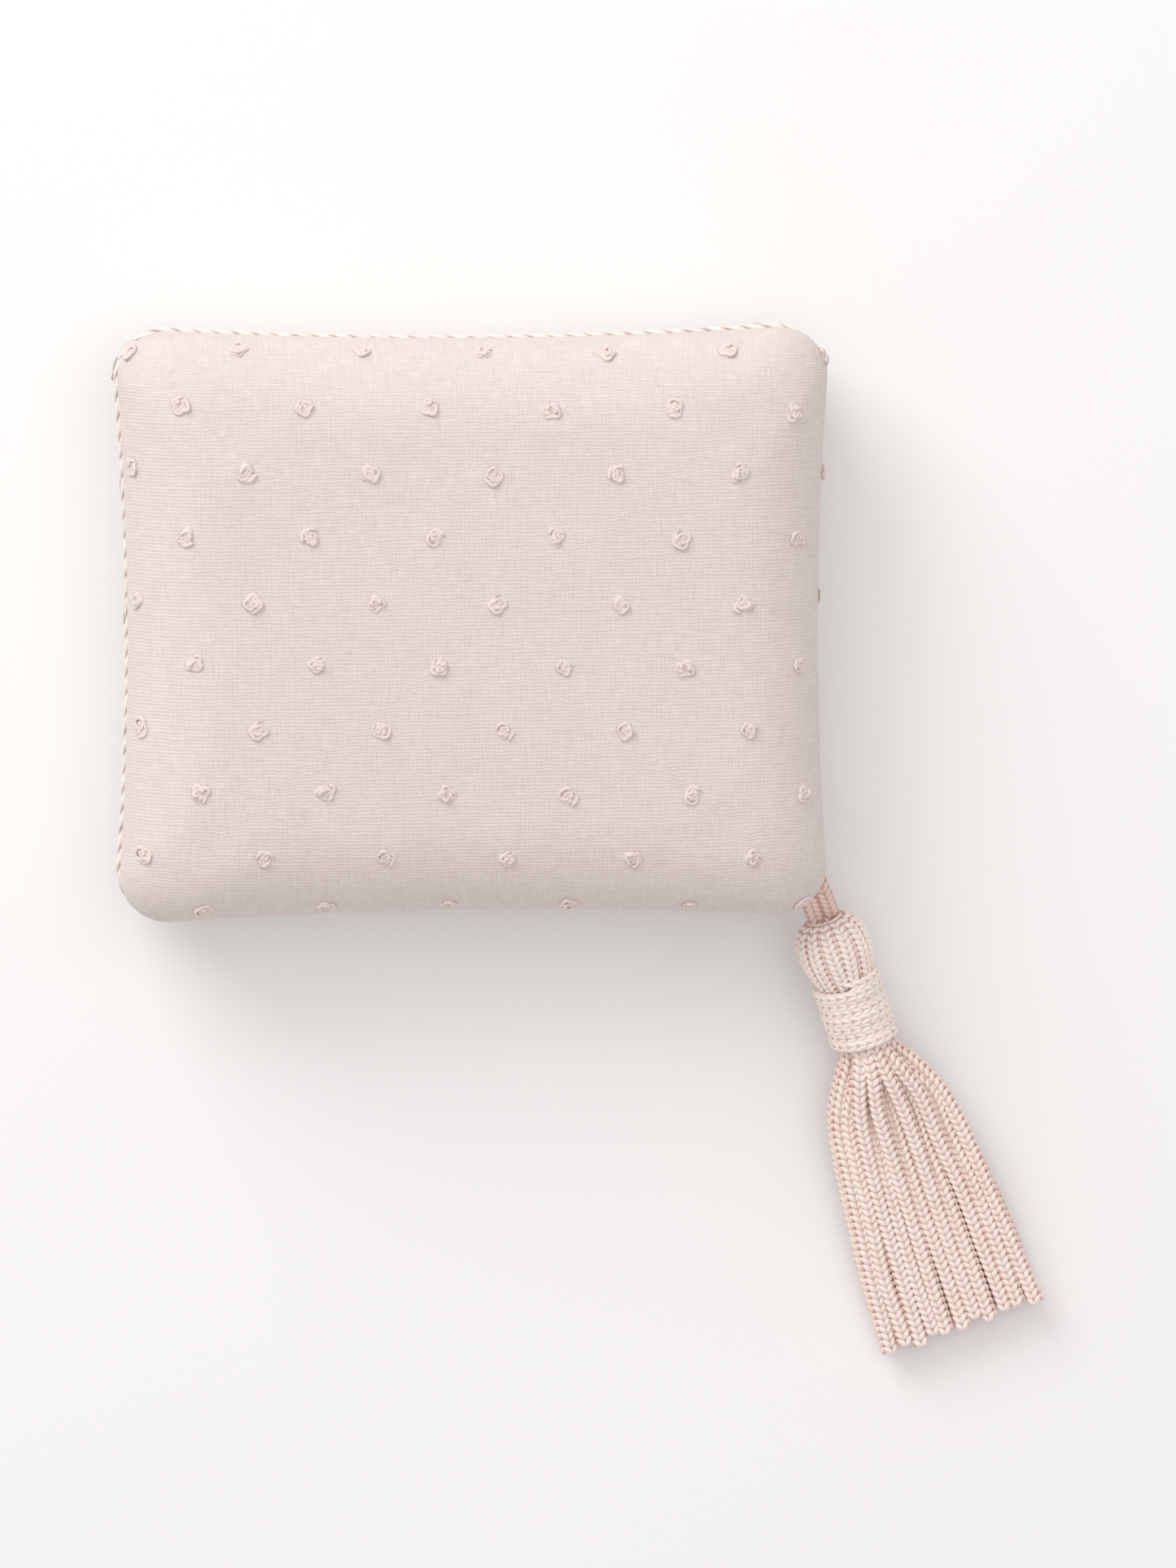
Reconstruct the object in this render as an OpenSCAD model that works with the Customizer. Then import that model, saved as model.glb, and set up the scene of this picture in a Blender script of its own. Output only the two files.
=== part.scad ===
// Ring bearer pillow: two clip-dot cotton covers over a filled inner case, a twisted cord
// round the seam, and a chainette tassel on a short loop at one corner.
// Lies flat: the back is on z = 0, +X runs along its width, +Y along its height, +Z is up.

/* [Pillow] */
// Width from corner to corner, over the edge cord
pillow_w = 120; // [90:1:200]
// Height from corner to corner, over the edge cord
pillow_h = 100; // [80:1:170]
// Thickness of the filled pillow without the clip dots
pillow_t = 32; // [28:0.5:48]
// Radius of the corners, seen from the front
corner_r = 8; // [7:0.5:14]
// How far the middle of each side is drawn in
side_dip = 1.7; // [0:0.1:3]
// Width of the rounded border, from the bulge to the flat of the face
edge_roll = 14; // [11:0.5:18]
// Height of the bulge above and below the seam
bulge_rise = 4.5; // [4:0.1:6]
// How much the front rises towards its middle
face_crown = 1; // [0.2:0.1:3]

/* [Cloth] */
// Thickness of the cover cloth
cover_t = 0.45; // [0.3:0.05:0.7]
// Thickness of the inner case's cloth
case_t = 0.3; // [0.2:0.05:0.5]
// Width of the cover cloth turned in along the seam
seam_allowance = 5; // [4:0.5:6]
// Diameter of the sewing thread
thread_d = 0.25; // [0.15:0.05:0.35]

/* [Clip dots] */
// Distance between the dots of one row
dot_pitch = 20.5; // [14:0.5:30]
// Distance between two rows
row_pitch = 10.7; // [8:0.1:16]
// Sideways drift of the pattern from one row to the next, beyond the half-pitch stagger
row_drift = 0.45; // [0:0.05:1]
// Drop of a row over one dot pitch
row_drop = 0.3; // [0:0.05:0.6]
// Place of the front's middle dot along X and along Y
front_dot_x = 3; // [-10:0.1:10]
front_dot_y = 4.6; // [-5:0.1:5]
// Diameter of one tuft
dot_d = 3.8; // [2.5:0.1:5]
// Thickness of a tuft on the front
dot_t = 0.9; // [0.5:0.1:1.4]
// Thickness of a tuft pressed flat under the back
pressed_dot_t = 0.5; // [0.3:0.05:0.8]

/* [Edge cord] */
// Diameter of the twisted edge cord
cord_d = 2.3; // [1.6:0.1:2.6]

/* [Tassel] */
// Diameter of one leg of the hanging loop
loop_d = 2.2; // [1.6:0.1:2.4]
// Horizontal distance from the seam to the top of the tassel
loop_reach = 5; // [3.2:0.1:8]
// Drop of the loop from the seam to the top of the tassel
loop_drop = 3.2; // [2:0.1:5]
// Direction that the loop leaves the corner in, from +X
loop_turn = -65.7; // [-72:0.1:-55]
// Direction that the tassel lies in, from +X
tassel_turn = -70.6; // [-85:0.1:-55]
// Diameter of the head
head_d = 12.2; // [12:0.1:18]
// Length of the head, from its top to the neck wrap
head_len = 10.2; // [10:0.1:18]
// Diameter of the bundle of cords inside the neck wrap
neck_d = 9.2; // [9:0.1:11]
// Outer diameter of the neck wrap
wrap_d = 12; // [12:0.1:15]
// Length of the neck wrap
wrap_len = 12; // [8:0.1:16]
// Length of the skirt below the neck wrap
skirt_len = 54; // [40:0.5:80]
// Width of the spread skirt at its cut end, over its cords
skirt_w = 29; // [28:0.5:40]
// Diameter of one skirt cord at its cut end
strand_d = 2.5; // [2:0.1:2.55]

/* [Hidden] */
upper_strands = 11;
lower_strands = 9;
strand_names = [for (i = [1 : upper_strands + lower_strands]) str("skirt_cord_", i)];

// Clearances
seam_gap = 0.05;      // between the two covers, and between the two halves of the case
layer_gap = 0.15;     // between cover, case and filling
fit_gap = 0.3;        // between pieces that move against each other
snug_gap = 0.08;      // between pieces that are bound together
cord_gap = 0.2;       // between the edge cord and the pinched covers

// Pillow heights, from the surface it lies on
face_rise = (pillow_t - face_crown) / 2;
seam_z = pressed_dot_t + face_rise;
roll_rise = face_rise - bulge_rise;

// Section through the edge: inset is measured in from the outline over the cord
bulge_in = 0.4;
cover_pinch = cord_d + cord_gap - bulge_in;
case_inset = cover_t + layer_gap;
fill_inset = case_inset + case_t + layer_gap;
case_clear = 1;       // the case's seam lies this far inside the cover's seam allowance
case_pinch = cover_pinch + seam_allowance + case_clear;
pinch_power = 1.6;    // above 1, the cover bulges over the cord before it turns in
cover_steps = 6;
case_steps = 4;

// Points of one outline: corner arcs, with drawn-in sides between them
corner_steps = 6;
side_steps = 12;
outline_points = 4 * (corner_steps + side_steps);

function corner_centre(q, inset) = [
    (q == 0 || q == 3 ? 1 : -1) * (pillow_w / 2 - inset - corner_r),
    (q < 2 ? 1 : -1) * (pillow_h / 2 - inset - corner_r)];
function corner_point(q, inset, angle) = corner_centre(q, inset) + corner_r * [cos(angle), sin(angle)];
function corner_arc(q, inset) =
    [for (j = [0 : corner_steps]) corner_point(q, inset, 90 * (q + j / corner_steps))];
function drawn_side(q, inset) =
    let (from = corner_point(q, inset, 90 * (q + 1)), to = corner_point((q + 1) % 4, inset, 90 * (q + 1)),
         inward = -[cos(90 * (q + 1)), sin(90 * (q + 1))])
    [for (k = [1 : side_steps - 1]) let (t = k / side_steps)
        from + (to - from) * t + inward * side_dip * 4 * t * (1 - t)];
function outline(inset) = [for (q = [0 : 3]) each concat(corner_arc(q, inset), drawn_side(q, inset))];
function ring(inset, z, share = 1) = [for (p = outline(inset)) [p.x * share, p.y * share, z]];

// Rings of one half, from the middle of the face down to the seam, z above the seam
function face_rings(inset, crown, steps) =
    [for (i = [1 : steps]) let (share = i / (steps + 1))
        ring(bulge_in + edge_roll, face_rise - inset + crown * (1 - share * share), share)];
function roll_rings(inset, steps) =
    [for (i = [0 : steps]) let (a = 90 - 90 * i / steps)
        ring(bulge_in + inset + (edge_roll - inset) * (1 - cos(a)),
            bulge_rise + (roll_rise - inset) * sin(a))];
function pinch_rings(inset, pinch, power, steps) =
    [for (i = [1 : steps]) let (t = i / steps)
        ring(bulge_in + inset + pinch * pow(t, power), bulge_rise + (seam_gap - bulge_rise) * t)];
function half_rings(inset, crown, pinch, power, steps) = concat(
    crown > 0 ? face_rings(inset, crown, ceil(steps / 3)) : [],
    roll_rings(inset, steps), pinch_rings(inset, pinch, power, ceil(steps / 2)));
function backwards(list) = [for (i = [len(list) - 1 : -1 : 0]) list[i]];

// A closed skin over rings of equal length, with a point at each end
module skin(rings, first, last) {
    n = len(rings[0]);
    points = concat([first], [for (r = rings) each r], [last]);
    end = len(points) - 1;
    faces = concat(
        [for (k = [0 : n - 1]) [0, 1 + (k + 1) % n, 1 + k]],
        [for (i = [0 : len(rings) - 2], k = [0 : n - 1])
            [1 + i * n + k, 1 + i * n + (k + 1) % n, 1 + (i + 1) * n + (k + 1) % n, 1 + (i + 1) * n + k]],
        [for (k = [0 : n - 1]) [end, end - n + k, end - n + (k + 1) % n]]);
    polyhedron(points, faces, convexity = 6);
}

// A cover: cloth over one half, with its seam allowance turned in
module cover_half(crown) {
    top = face_rise + crown;
    seam_in = bulge_in + cover_pinch;
    skin(concat(
            half_rings(0, crown, cover_pinch, pinch_power, cover_steps),
            [ring(seam_in + seam_allowance, seam_gap), ring(seam_in + seam_allowance, seam_gap + cover_t),
             ring(seam_in + 2 * cover_t, seam_gap + cover_t)],
            [for (r = backwards(half_rings(cover_t, crown, cover_pinch, pinch_power, cover_steps)))
                if (r[0].z > 3 * cover_t) r]),
        [0, 0, top], [0, 0, top - cover_t]);
}

// One half of the inner case, open at its seam
module case_half(crown) {
    top = face_rise - case_inset + crown;
    skin(concat(
            half_rings(case_inset, crown, case_pinch, 1, case_steps),
            backwards(half_rings(case_inset + case_t, crown, case_pinch, 1, case_steps))),
        [0, 0, top], [0, 0, top - case_t]);
}

module front() { translate([0, 0, seam_z]) children(); }
module back() { translate([0, 0, seam_z]) mirror([0, 0, 1]) children(); }

module front_cover() { color("#ecdfdc") front() cover_half(face_crown); }
module back_cover() { color("#e4d5d1") back() cover_half(0); }
module inner_case_front() { color("white") front() case_half(face_crown); }
module inner_case_back() { color("white") back() case_half(0); }

module filling() {
    upper = half_rings(fill_inset, face_crown, case_pinch, 1, case_steps);
    lower = half_rings(fill_inset, 0, case_pinch, 1, case_steps);
    top = face_rise - fill_inset;
    color("whitesmoke") front() skin(
        concat(upper, [for (r = backwards(lower)) [for (p = r) [p.x, p.y, -p.z]]]),
        [0, 0, top + face_crown], [0, 0, -top]);
}

// Clip dots: a staggered pattern on the flat cloth, laid over the face and down its rounded border
arc_r = (edge_roll + roll_rise) / 2;
degrees_per_radian = 180 / PI;
function flat_half(size) = size / 2 - bulge_in - edge_roll;
function bend_angle(u, size) = max(0, abs(u) - flat_half(size)) / arc_r * degrees_per_radian;
function laid(u, size) =
    sign(u) * (min(abs(u), flat_half(size)) + edge_roll * sin(min(90, bend_angle(u, size))));
function near_inset(u, size) = max(0, min(bulge_in + edge_roll, (size - side_dip) / 2 - abs(u)));
function drawn_half(size, along, length, inset) =
    size / 2 - side_dip * max(0, 1 - pow(along / (length / 2 - inset - corner_r), 2));
// How far a point of the face is in from the outline, and the way out from it
function edge_reach(p) =
    let (a = drawn_half(pillow_w, p.y, pillow_h, near_inset(p.x, pillow_w)) - abs(p.x),
         b = drawn_half(pillow_h, p.x, pillow_w, near_inset(p.y, pillow_h)) - abs(p.y),
         e = min(a, b), dx = corner_r - a, dy = corner_r - b)
    dx + e > 0 && dy + e > 0
        ? let (s = dx + dy, c = (sqrt(max(0, s * s - 2 * (dx * dx + dy * dy - corner_r * corner_r))) - s) / 2)
            [c, [sign(p.x) * (dx + c), sign(p.y) * (dy + c)] / corner_r]
        : [e, a < b ? [sign(p.x), 0] : [0, sign(p.y)]];
dot_rows = ceil(pillow_h / row_pitch / 2) + 2;
dot_cols = ceil(pillow_w / dot_pitch / 2) + 1;
last_bend = 82;       // dots further round the border than this are out of sight in the pinch
edge_margin = 0.6;    // least distance from a dot's middle to the pinch
function dot_places(start) =
    [for (row = [-dot_rows : dot_rows], col = [-dot_cols : dot_cols])
        let (u = start.x + (col + (row % 2 == 0 ? 0 : 0.5)) * dot_pitch - row * row_drift,
             v = start.y + row * row_pitch - col * row_drop)
        if (bend_angle(u, pillow_w) < last_bend && bend_angle(v, pillow_h) < last_bend)
            let (p = [laid(u, pillow_w), laid(v, pillow_h)])
            if (edge_reach(p)[0] > bulge_in + edge_margin) p];

module tuft(p, thick, crown) {
    reach = edge_reach(p);
    inset = min(edge_roll, reach[0] - bulge_in);
    a = acos(1 - inset / edge_roll);
    share = min(1, max(abs(p.x) / flat_half(pillow_w), abs(p.y) / flat_half(pillow_h)));
    // a tuft within its own width of the face lies level with it, and one further down lies on the border
    level = inset > edge_roll - dot_d;
    drop = level ? 0 : roll_rise * (1 - sin(a));
    tilt = level ? 0 : atan2(cos(a) / edge_roll, sin(a) / roll_rise);
    bridge = dot_d * dot_d / (8 * min(corner_r, roll_rise * roll_rise / edge_roll)) + snug_gap;
    lift = level ? crown * share * dot_d / flat_half(pillow_h) : min(bridge, drop - dot_d / 2 * sin(tilt));
    translate([p.x, p.y, bulge_rise + roll_rise - drop + crown * (1 - share * share)])
        rotate([0, tilt, atan2(reach[1].y, reach[1].x)])
            translate([0, 0, lift]) cylinder(h = thick, d = dot_d, $fn = 24);
}

module front_clip_dots() {
    color("#dccbc8") front() translate([0, 0, snug_gap / 2])
        for (p = dot_places([front_dot_x, front_dot_y])) tuft(p, dot_t, face_crown);
}
module back_clip_dots() {
    color("#dccbc8") back() for (p = dot_places([0, 0])) tuft(p, pressed_dot_t, 0);
}

// Edge cord: one run round the seam, open at the tassel's corner where its ends are tucked in
cord_inset = cord_d / 2;
cord_start = outline_points - side_steps + 1;
cord_count = outline_points - corner_steps + 2;
function cord_path() =
    let (loop = outline(cord_inset))
    [for (i = [0 : cord_count - 1]) let (p = loop[(cord_start - 1 + i) % outline_points]) [p.x, p.y, seam_z]];

function unit(v) = v / norm(v);
function path_way(path, i) = unit(path[min(len(path) - 1, i + 1)] - path[max(0, i - 1)]);
// A round tube along a path, radius by station, with flat ends
module tube(path, radii, sides) {
    rings = [for (i = [0 : len(path) - 1])
        let (way = path_way(path, i), across = unit(cross([0, 0, 1], way)), up = cross(way, across))
        [for (k = [0 : sides - 1]) let (a = 360 * k / sides)
            path[i] + radii[i] * (cos(a) * across + sin(a) * up)]];
    last = len(rings) - 1;
    points = [for (r = rings) each r];
    faces = concat(
        [[for (k = [sides - 1 : -1 : 0]) k]],
        [for (i = [0 : last - 1], k = [0 : sides - 1])
            let (next = (k + 1) % sides)
            [i * sides + k, i * sides + next, (i + 1) * sides + next, (i + 1) * sides + k]],
        [[for (k = [0 : sides - 1]) last * sides + k]]);
    polyhedron(points, [for (f = faces) backwards(f)], convexity = 4);
}

module edge_cord() {
    path = cord_path();
    color("ivory") tube(path, [for (p = path) cord_d / 2], 8);
}

// Stitches: short lengths of thread along an outline, one at the middle of each chosen stretch
module stitch(from, to, length) {
    way = to - from;
    translate((from + to) / 2) rotate([0, 90, atan2(way.y, way.x)])
        cylinder(h = length, d = thread_d, center = true, $fn = 16);
}
module stitch_run(inset, z, length, first, last, step) {
    loop = ring(inset, z);
    for (i = [first : step : last]) stitch(loop[i % outline_points], loop[(i + 1) % outline_points], length);
}
seam_stitch_len = 1.2;
cord_stitch_len = 1;
closing_stitch_len = 2;
seam_stitch_in = bulge_in + cover_pinch + 2 * cover_t + 0.4;
module seam_stitches() {
    color("mistyrose") front() for (side = [-1, 1])
        stitch_run(seam_stitch_in, side * (seam_gap + cover_t + thread_d / 2 + snug_gap), seam_stitch_len,
            0, outline_points - 1, 1);
}
case_seam_in = bulge_in + case_inset + case_pinch;
module case_stitches() {
    color("white") front()
        stitch_run(case_seam_in - thread_d / 2 - layer_gap, 0, seam_stitch_len, 0, outline_points - 1, 1);
}
// The thread that holds the cord lies in the groove between cord and front cover
groove_z = (cord_d + thread_d) / 2 + layer_gap;
groove_in = cord_inset + 0.1;
module cord_stitches() {
    color("ivory") front() stitch_run(groove_in, groove_z, cord_stitch_len,
        0, outline_points - side_steps - corner_steps, 2);
}
// The opening was closed by hand from behind, along the lower side
module closing_stitches() {
    first = 3 * (corner_steps + side_steps) - side_steps + 3;
    color("mistyrose") front() stitch_run(groove_in, -groove_z, closing_stitch_len,
        first, first + side_steps / 2, 1);
}

// Tassel corner: the loop turns on a line just outside the seam
tassel_corner = 3;
loop_corner_angle = -36;
leg_spread = 1.7;
root_inset = 0.3;     // of the loop's turning line, in from the outline over the cord
loop_root_xy = corner_centre(tassel_corner, root_inset)
    + corner_r * [cos(loop_corner_angle), sin(loop_corner_angle)];
loop_root = [loop_root_xy.x, loop_root_xy.y, seam_z];
tassel_top = loop_root + [loop_reach * cos(loop_turn), loop_reach * sin(loop_turn), -loop_drop];
loop_len = norm(tassel_top - loop_root);
loop_fall = asin(loop_drop / loop_len);
head_start = 0.8;
neck_end = head_start + head_len + wrap_len;
strand_layer = 1.5;   // height of a layer of skirt cords at its cut end, over the skirt's middle
skirt_rest = strand_d / 2 + strand_layer + fit_gap;
tassel_len = neck_end + skirt_len;
tassel_dip = asin((tassel_top.z - skirt_rest) / tassel_len);

module at_root() { translate(loop_root) rotate([0, 0, loop_turn]) children(); }
module along_tassel() { translate(tassel_top) rotate([0, tassel_dip, tassel_turn]) children(); }

tail_len = 4.8;
// the tails run straight in from the seam, clear of the legs' round ends
tail_start = loop_d / 2 + fit_gap + leg_spread * sin(abs(loop_corner_angle - loop_turn));
module at_tails() { translate(loop_root) rotate([0, 0, loop_corner_angle]) children(); }
tail_t = 0.9;
module loop_tails() {
    color("rosybrown") at_tails() for (side = [-1, 1])
        translate([-tail_start - tail_len, side * leg_spread - loop_d / 2, -tail_t / 2])
            cube([tail_len, loop_d, tail_t]);
}
module loop_stitches() {
    stitch_z = seam_gap + cover_t + thread_d / 2 + snug_gap;
    color("mistyrose") at_tails() for (side = [-1, 1], level = [-1, 1], from_end = [0.3, 0.9])
        translate([from_end - tail_start - tail_len, side * leg_spread, level * stitch_z]) rotate([90, 0, 0])
            cylinder(h = loop_d, d = thread_d, center = true, $fn = 16);
}

// The loop: two legs side by side, joined by a bend that the tassel's tie passes through
module hanging_loop() {
    color("rosybrown") at_root() rotate([0, loop_fall, 0]) {
        for (side = [-1, 1]) {
            translate([0, side * leg_spread, 0]) rotate([0, 90, 0])
                cylinder(h = loop_len, d = loop_d, $fn = 32);
            translate([0, side * leg_spread, 0]) rotate([90, 0, 0])
                cylinder(h = loop_d, d = loop_d, center = true, $fn = 32);
        }
        translate([loop_len, 0, 0]) rotate([0, 0, -90]) rotate_extrude(angle = 180, $fn = 48)
            translate([leg_spread, 0]) circle(d = loop_d, $fn = 32);
    }
}

// Head and neck: profiles are [radius, distance from the tassel's top], turned about its axis
dimple_r = leg_spread + loop_d / 2 + 0.4;
core_r = 3.2;
bundle_r = neck_d / 2;
head_mid = head_start + head_len / 2;
arc_steps = 10;
function head_arc(from, to) = [for (i = [0 : arc_steps]) let (a = from + (to - from) * i / arc_steps)
    [head_d / 2 * cos(a), head_mid + head_len / 2 * sin(a)]];
function neck_arc(r_min) = [for (i = [0 : arc_steps]) let (a = acos(r_min / bundle_r) * i / arc_steps)
    [bundle_r * cos(a), neck_end + bundle_r * sin(a)]];
outer_profile = let (r_in = core_r + snug_gap) concat(
    head_arc(-acos(r_in / (head_d / 2)), acos(neck_d / head_d)), neck_arc(r_in),
    [[r_in, head_mid]]);

outer_cords = 12;
inner_cords = 8;
outer_cord_gap = 1.4; // degrees
inner_cord_gap = 3;   // degrees
// Folded cords: one wedge for each cord where it passes over the head and down through the neck
module wedges(count, gap_deg, profile) {
    for (i = [0 : count - 1]) rotate([0, 0, 360 * (i + 0.5) / count])
        rotate_extrude(angle = 360 / count - gap_deg, $fn = 96) polygon(profile);
}
module outer_head_cords() {
    color("mistyrose") along_tassel() rotate([0, 90, 0]) wedges(outer_cords, outer_cord_gap, outer_profile);
}
module inner_head_cords() {
    // around the dimple that the loop sits in, then down to the rounded end of the bundle
    hole_r = 0.3;
    below_top = 0.6;
    top = [for (i = [0 : arc_steps]) let (r = hole_r + (core_r - hole_r) * i / arc_steps)
        [r, max(sqrt(max(0, dimple_r * dimple_r - r * r)), head_start + below_top)]];
    end = [for (i = [0 : arc_steps]) let (r = core_r + (hole_r - core_r) * i / arc_steps)
        [r, neck_end + sqrt(bundle_r * bundle_r - r * r)]];
    color("rosybrown") along_tassel() rotate([0, 90, 0])
        wedges(inner_cords, inner_cord_gap, concat(top, end));
}
// The thread that ties the folded cords to the loop: the tassel swings on its middle
bite = 0.05;          // how far the tie presses into the loop's bend
tie_half = leg_spread + loop_d / 2 - bite;
tie_d = 0.4;
tie_len = 5;
module bundle_tie() {
    color("mistyrose") along_tassel() {
        cylinder(h = 2 * tie_half, d = tie_d, center = true, $fn = 24);
        for (side = [-1, 1]) translate([0, 0, side * tie_half]) {
            sphere(d = tie_d, $fn = 24);
            rotate([0, 90, 0]) cylinder(h = tie_len, d = tie_d, $fn = 24);
        }
    }
}
wrap_turns = 7;
module neck_wrap() {
    turn = wrap_len / wrap_turns;
    depth = 0.5;
    steps = 6;
    bumps = [for (i = [0 : wrap_turns - 1], k = [0 : steps]) let (a = 180 * k / steps)
        if (k < steps || i == wrap_turns - 1)
        [wrap_d / 2 - depth * (1 - sin(a)), head_start + head_len + turn * (i + k / steps)]];
    inner = bundle_r + snug_gap;
    color("mistyrose") along_tassel() rotate([0, 90, 0]) rotate_extrude($fn = 96)
        polygon(concat([[inner, head_start + head_len]], bumps, [[inner, neck_end]]));
}

// Skirt: cords fan out from the round neck into two flat layers. Each station gives
// [share of the length, share of the spread, height of the arch, height of the layer,
//  sideways share and height share of every second cord, share of the cord's diameter]
strand_stations = [
    [0.055, 0.32, 3.3, 0.70, 0.55, 0.55, 0.36],
    [0.12, 0.49, 3.3, 0.80, 0.75, 0.60, 0.56],
    [0.23, 0.70, 2.2, 1.10, 1.00, 0.50, 0.66],
    [0.38, 0.80, 1.2, 1.30, 1.00, 0.60, 0.80],
    [0.57, 0.88, 0.5, 1.40, 1.00, 0.85, 0.90],
    [0.78, 0.94, 0.2, 1.45, 1.00, 0.95, 0.96],
    [1.00, 1.00, 0.0, strand_layer, 1.00, 1.00, 1.00]];
strand_start_r = bundle_r + fit_gap;
uneven = 0.7;         // the cords are cut up to twice this shorter than the longest
uneven_step = 137;    // degrees
function strand_path(i) =
    let (upper = i < upper_strands, k = upper ? i : i - upper_strands,
         count = upper ? upper_strands : lower_strands, side = upper ? 1 : -1,
         f = 2 * k / (count - 1) - 1, odd = k % 2 == 1,
         half = (skirt_w - strand_d) / 2, cut = skirt_len - uneven * (1 + sin(uneven_step * i)))
    [for (s = strand_stations)
        let (y = f * half * s[1] * (odd ? s[4] : 1),
             z = side * (s[3] + s[2] * sqrt(1 - f * f)) * (odd ? s[5] : 1),
             x = max(cut * s[0], sqrt(max(0, strand_start_r * strand_start_r - y * y - z * z))))
        [x, y, z]];
module skirt_cord(i) {
    color("mistyrose") along_tassel() translate([neck_end, 0, 0])
        tube(strand_path(i), [for (s = strand_stations) strand_d / 2 * s[6]], 8);
}

front_cover();
back_cover();
front_clip_dots();
back_clip_dots();
inner_case_front();
inner_case_back();
filling();
edge_cord();
seam_stitches();
case_stitches();
cord_stitches();
closing_stitches();
loop_tails();
loop_stitches();
hanging_loop();
bundle_tie();
inner_head_cords();
outer_head_cords();
neck_wrap();
for (i = [0 : len(strand_names) - 1]) skirt_cord(i);
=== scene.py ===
# %% [markdown]
# # Ring bearer pillow with a corded tassel
# A lesson in building a small sewn and knotted object around a fixed CAD frame: stuffed cloth covers,
# clipped tufts, a twisted edge cord, and a tassel of chainette cords.
# All shapes are worked out in millimetres and turned into metres when a mesh is made.

# %% Libraries and frame
import math

import bpy
import numpy as np
from mathutils import Matrix, Vector
from mathutils.bvhtree import BVHTree


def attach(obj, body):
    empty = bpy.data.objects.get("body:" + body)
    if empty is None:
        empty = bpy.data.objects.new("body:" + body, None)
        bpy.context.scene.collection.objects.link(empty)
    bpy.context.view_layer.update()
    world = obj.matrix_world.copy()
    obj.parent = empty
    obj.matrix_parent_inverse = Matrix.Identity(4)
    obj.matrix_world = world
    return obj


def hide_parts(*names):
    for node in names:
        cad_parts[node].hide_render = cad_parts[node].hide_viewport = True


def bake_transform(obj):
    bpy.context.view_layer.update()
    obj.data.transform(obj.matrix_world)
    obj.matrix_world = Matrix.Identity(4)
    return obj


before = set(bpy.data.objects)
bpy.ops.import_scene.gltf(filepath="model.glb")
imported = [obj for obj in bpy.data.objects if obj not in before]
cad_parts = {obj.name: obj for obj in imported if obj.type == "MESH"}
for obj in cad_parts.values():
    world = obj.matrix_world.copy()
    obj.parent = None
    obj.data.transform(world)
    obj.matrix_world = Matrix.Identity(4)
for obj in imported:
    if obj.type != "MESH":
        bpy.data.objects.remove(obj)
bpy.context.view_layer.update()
MM = 0.001

# %% [markdown]
# The sizes below are the CAD part's own driving values, repeated so that the looks sit on the same shape.

# %% Sizes shared with the CAD part
PILLOW_W, PILLOW_H = 120.0, 100.0
CORNER_R = 8.0
SIDE_DIP = 1.7
SEAM_Z = 16.0
BULGE_IN, BULGE_RISE = 0.5, 4.5
EDGE_ROLL, ROLL_RISE = 14.0, 11.0
FACE_CROWN = 1.0
PINCH = 2.1
CORD_D = 2.3
TASSEL_TOP = np.array([60.230, -50.959, 12.8])
LOOP_ROOT = np.array([58.172, -46.402, 16.0])
TASSEL_TURN, TASSEL_DIP = math.radians(-70.6), math.radians(7.275)
NECK_END = 23.0
SKIRT_LEN, SKIRT_W, STRAND_D = 54.0, 29.0, 2.5

# %% [markdown]
# Small helpers. A colour is an sRGB hex code, turned into linear light once. A node is added with its
# settings and its links in one call, for materials and for Geometry Nodes alike.

# %% Helpers
def hex_linear(code):
    """Linear RGBA of an sRGB hex colour."""
    parts = [int(code[i : i + 2], 16) / 255 for i in (1, 3, 5)]
    return tuple(c / 12.92 if c <= 0.04045 else ((c + 0.055) / 1.055) ** 2.4 for c in parts) + (1.0,)


def add(tree, kind, links=None, **settings):
    """Adds a node. links gives its inputs by name or number, each a plain value or a socket to join."""
    made = tree.nodes.new(kind)
    for name, value in settings.items():
        setattr(made, name, value)
    for key, value in (links or {}).items():
        if isinstance(value, bpy.types.NodeSocket):
            tree.links.new(value, made.inputs[key])
        else:
            made.inputs[key].default_value = value
    return made


def maths(tree, operation, a, b=0.0):
    """One maths node and its result."""
    return add(tree, "ShaderNodeMath", {0: a, 1: b}, operation=operation).outputs[0]


def new_mesh(name, points, faces, values=None, smooth=True):
    """A mesh object from points in millimetres. values holds named numbers, one for each point."""
    mesh = bpy.data.meshes.new(name)
    mesh.from_pydata((np.asarray(points, float) * MM).tolist(), [], faces)
    for key, data in (values or {}).items():
        data = np.asarray(data, np.float32)
        kind = "FLOAT_VECTOR" if data.ndim == 2 else "FLOAT"
        held = mesh.attributes.new(key, kind, "POINT")
        held.data.foreach_set("vector" if data.ndim == 2 else "value", data.ravel())
    mesh.polygons.foreach_set("use_smooth", [smooth] * len(mesh.polygons))
    mesh.update()
    made = bpy.data.objects.new(name, mesh)
    bpy.context.scene.collection.objects.link(made)
    return made


def unit(v):
    v = np.asarray(v, float)
    return v / np.maximum(np.linalg.norm(v, axis=-1, keepdims=True), 1e-12)


def along(path, step):
    """The path again, with points an equal step apart, and the step used."""
    path = np.asarray(path, float)
    far = np.concatenate([[0], np.cumsum(np.linalg.norm(np.diff(path, axis=0), axis=1))])
    count = max(2, int(round(far[-1] / step)) + 1)
    at = np.linspace(0, far[-1], count)
    return np.stack([np.interp(at, far, path[:, i]) for i in range(3)], axis=1), far[-1] / (count - 1)


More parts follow.
